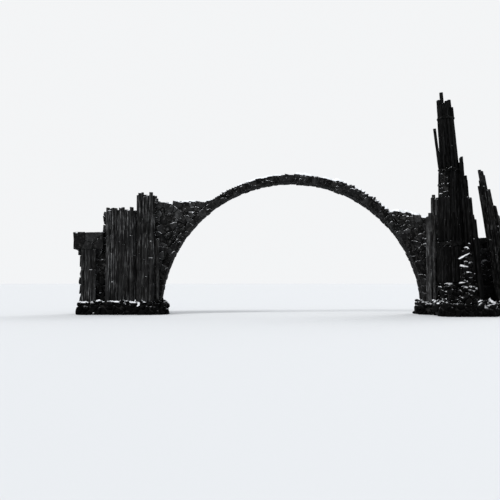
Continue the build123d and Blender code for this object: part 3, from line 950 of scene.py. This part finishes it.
# Neighbouring places are evened out, and covered by one face, if their heights differ by less
# than so many times the grid's spacing
JOINED_DROP = 1.6
SPANNED_DROP = 1.3

# No snow lies where the cosine of the slope is TOO_STEEP, and all of it from FLAT_RANGE above that
TOO_STEEP = 0.6
FLAT_RANGE = 0.3


def around(field, fill):
    """Each place of a grid with its eight neighbours."""
    padded = np.pad(field, 1, constant_values=fill)
    rows, files = field.shape
    return np.stack([padded[a : a + rows, b : b + files] for a in range(3) for b in range(3)])


def heights_below(xs, ys, low, high):
    """The height of what faces the sky at each place of a grid, where it is between two heights."""
    heights = np.full((len(xs), len(ys)), -np.inf)
    for i, x in enumerate(xs):
        for j, y in enumerate(ys):
            hit = bare.ray_cast(Vector((x, y, high)), DOWN)[0]
            if hit is not None and hit.z >= low:
                heights[i, j] = hit.z
    return heights


def settled(heights, low, step):
    """The heights with narrow cracks bridged, the same evened out, and how flat each place is."""
    known = np.isfinite(heights)
    bridged = around(around(heights, -np.inf).max(0), np.inf).min(0)
    bridged[~known] = low
    level = bridged.copy()
    for _ in range(3):
        near = around(level, 0.0)
        joined = around(known, False) & (np.abs(near - level) < JOINED_DROP * step)
        level = (near * joined).sum(0) / np.maximum(joined.sum(0), 1)
    slope = (np.abs(around(level, 0.0) - level) * joined).max(0) / step
    flat = np.clip((1 / np.sqrt(1 + slope**2) - TOO_STEEP) / FLAT_RANGE, 0, 1)
    return bridged, level, flat * known


def closed_skin(made, tops, lies):
    """A skin about the snow, which thins out at its rim and reaches a little into the stone."""
    sides = {(a, b) for face in made for a, b in zip(face, face[1:] + face[:1])}
    rim = [(a, b) for a, b in sorted(sides) if (b, a) not in sides]
    edge = {k for side in rim for k in side}
    count = len(tops)
    points = [(x, y, z + lies[k] * (RIM_SHARE if k in edge else 1.0)) for k, (x, y, z) in enumerate(tops)]
    points += [(x, y, z - SNOW_ROOT) for x, y, z in tops]
    skin = made + [[k + count for k in reversed(face)] for face in made]
    skin += [[b, a, a + count, b + count] for a, b in rim]
    used = sorted({k for face in skin for k in face})
    renumber = {k: n for n, k in enumerate(used)}
    return [points[k] for k in used], [[renumber[k] for k in face] for face in skin]


def snow_cover(name, low, high, step, depth, keep, seed):
    """Snow that lies on whatever faces up in a region, across narrow cracks and in patches."""
    xs, ys = (
        np.linspace(low[k], high[k], max(2, round((high[k] - low[k]) / step)) + 1) for k in range(2)
    )
    bridged, level, flat = settled(heights_below(xs, ys, low[2], high[2]), low[2], step)
    tops, where, lies = [], {}, []
    for i, j in zip(*np.nonzero(flat > 0)):
        spot = Vector((xs[i] * 1.1 + seed, ys[j] * 1.1, level[i, j] * 0.9))
        patch = noise.fractal(spot, 0.9, 2.0, 4) + keep
        lie = depth * min(1.0, patch * 2.2) * flat[i, j]
        if lie > THINNEST_SNOW:
            where[i, j] = len(tops)
            tops.append((xs[i], ys[j], max(level[i, j], bridged[i, j])))
            lies.append(lie)
    made = []
    for i, j in itertools.product(range(len(xs) - 1), range(len(ys) - 1)):
        ring = [(i, j), (i + 1, j), (i + 1, j + 1), (i, j + 1)]
        if all(key in where for key in ring):
            face = [where[key] for key in ring]
            levels = [tops[k][2] for k in face]
            if max(levels) - min(levels) < SPANNED_DROP * step:
                made.append(face)
    corners, faces = closed_skin(made, tops, lies)
    make_piece(name, corners, faces, snow, (), 70)


BARE_PIECES = ("_stones", "_rough", "_mortar", "boulders", "slabs")
bare = tree_of(p.data for p in bpy.context.scene.collection.objects if p.name.endswith(BARE_PIECES))
back = ring_high.y + 0.05
front = ring_low.y - 0.05

# Each cover: the lowest and highest corner of its region, the spacing of its grid, its depth, how
# much of the ground it keeps and a seed
COVERS = (
    ("snow_on_right_flight", (ARCH_X + 0.2, front, 5.5), (ARCH_X + 8.7, back, 9.5), 0.06, 0.12, 0.34, 3.0),
    ("snow_on_left_flight", (ARCH_X - 7.5, front, 6.0), (ARCH_X + 0.2, back, 9.5), 0.06, 0.07, 0.22, 5.0),
    ("snow_on_right_wall", (7.9, 0.4, 3.6), (13.8, 2.3, 4.9), 0.07, 0.06, 0.10, 7.0),
    ("snow_on_left_rocks", (-13.9, -0.2, 0.3), (-7.0, 2.9, 1.6), 0.07, 0.05, 0.05, 9.0),
    ("snow_on_left_end", (-13.9, 0.2, 4.0), (-11.9, 2.5, 5.4), 0.07, 0.05, 0.05, 11.0),
)
for cover in COVERS:
    snow_cover(*cover)


# Floor, light and camera

FLOOR_HALF_SIZE = 600.0
FLOOR_DROP = 0.004


def make_floor():
    """A pale floor that reads as one even pale field to the camera and keeps the shadow."""
    mesh = bpy.data.meshes.new("floor")
    square = ((-1, -1), (1, -1), (1, 1), (-1, 1))
    mesh.from_pydata([(x * FLOOR_HALF_SIZE, y * FLOOR_HALF_SIZE, 0) for x, y in square], [], [(0, 1, 2, 3)])
    floor = bpy.data.objects.new("floor", mesh)
    floor.location.z = -FLOOR_DROP
    bpy.context.scene.collection.objects.link(floor)
    s = Shader("floor_pale")
    mesh.materials.append(s.set(Base_Color=(0.62, 0.63, 0.64, 1.0), Roughness=0.9))


def make_world():
    """An even pale sky, white where the camera or a glossy surface sees it."""
    world = bpy.data.worlds.new("sky")
    world.use_nodes = True
    bpy.context.scene.world = world
    tree = world.node_tree
    tree.nodes.clear()

    def background(colour, strength):
        made = tree.nodes.new("ShaderNodeBackground")
        made.inputs["Color"].default_value = colour
        made.inputs["Strength"].default_value = strength
        return made.outputs[0]

    def either(a, b):
        made = tree.nodes.new("ShaderNodeMath")
        made.operation = "MAXIMUM"
        tree.links.new(a, made.inputs[0])
        tree.links.new(b, made.inputs[1])
        return made.outputs[0]

    rays = tree.nodes.new("ShaderNodeLightPath").outputs
    seen = either(either(rays["Is Camera Ray"], rays["Is Glossy Ray"]), rays["Is Transmission Ray"])
    mix = tree.nodes.new("ShaderNodeMixShader")
    tree.links.new(seen, mix.inputs[0])
    tree.links.new(background((0.93, 0.96, 1.0, 1.0), 0.75), mix.inputs[1])
    tree.links.new(background((0.90, 0.91, 0.92, 1.0), 1.0), mix.inputs[2])
    output = tree.nodes.new("ShaderNodeOutputWorld")
    tree.links.new(mix.outputs[0], output.inputs["Surface"])


def make_sun(name, energy, place, target, softness):
    """A soft sun aimed at a point. softness is the angle that it spans, in degrees."""
    data = bpy.data.lights.new(name, "SUN")
    data.energy = energy
    data.angle = math.radians(softness)
    lamp = bpy.data.objects.new(name, data)
    lamp.location = place
    lamp.rotation_euler = (Vector(target) - Vector(place)).to_track_quat("-Z", "Y").to_euler()
    bpy.context.scene.collection.objects.link(lamp)


# The camera stands 48 m in front of the arch, left of its crown, 2 m above the water
CAMERA_DISTANCE = 48.0
CAMERA_LEFT = 2.578
CAMERA_HEIGHT = 2.0
CAMERA_PITCH = 2.25
FOCAL_PIXELS = 795.0
IMAGE_PIXELS = 500.0


def make_camera():
    """The photograph's viewpoint."""
    data = bpy.data.cameras.new("camera")
    data.sensor_width = 36.0
    data.lens = data.sensor_width * FOCAL_PIXELS / IMAGE_PIXELS
    data.clip_end = 2000.0
    camera = bpy.data.objects.new("camera", data)
    camera.location = (ARCH_X - CAMERA_LEFT, ARCH_Y - HALF_WIDTH - CAMERA_DISTANCE, CAMERA_HEIGHT)
    camera.rotation_euler = (math.radians(90 + CAMERA_PITCH), 0, 0)
    bpy.context.scene.collection.objects.link(camera)
    bpy.context.scene.camera = camera


make_floor()
make_world()
make_sun("key", 2.2, (-26.0, -24.0, 34.0), (0.0, 0.0, 3.0), 18.0)
make_sun("rim", 0.9, (22.0, 26.0, 26.0), (0.0, 0.0, 4.0), 30.0)
make_camera()
bpy.context.scene.view_settings.view_transform = "Standard"
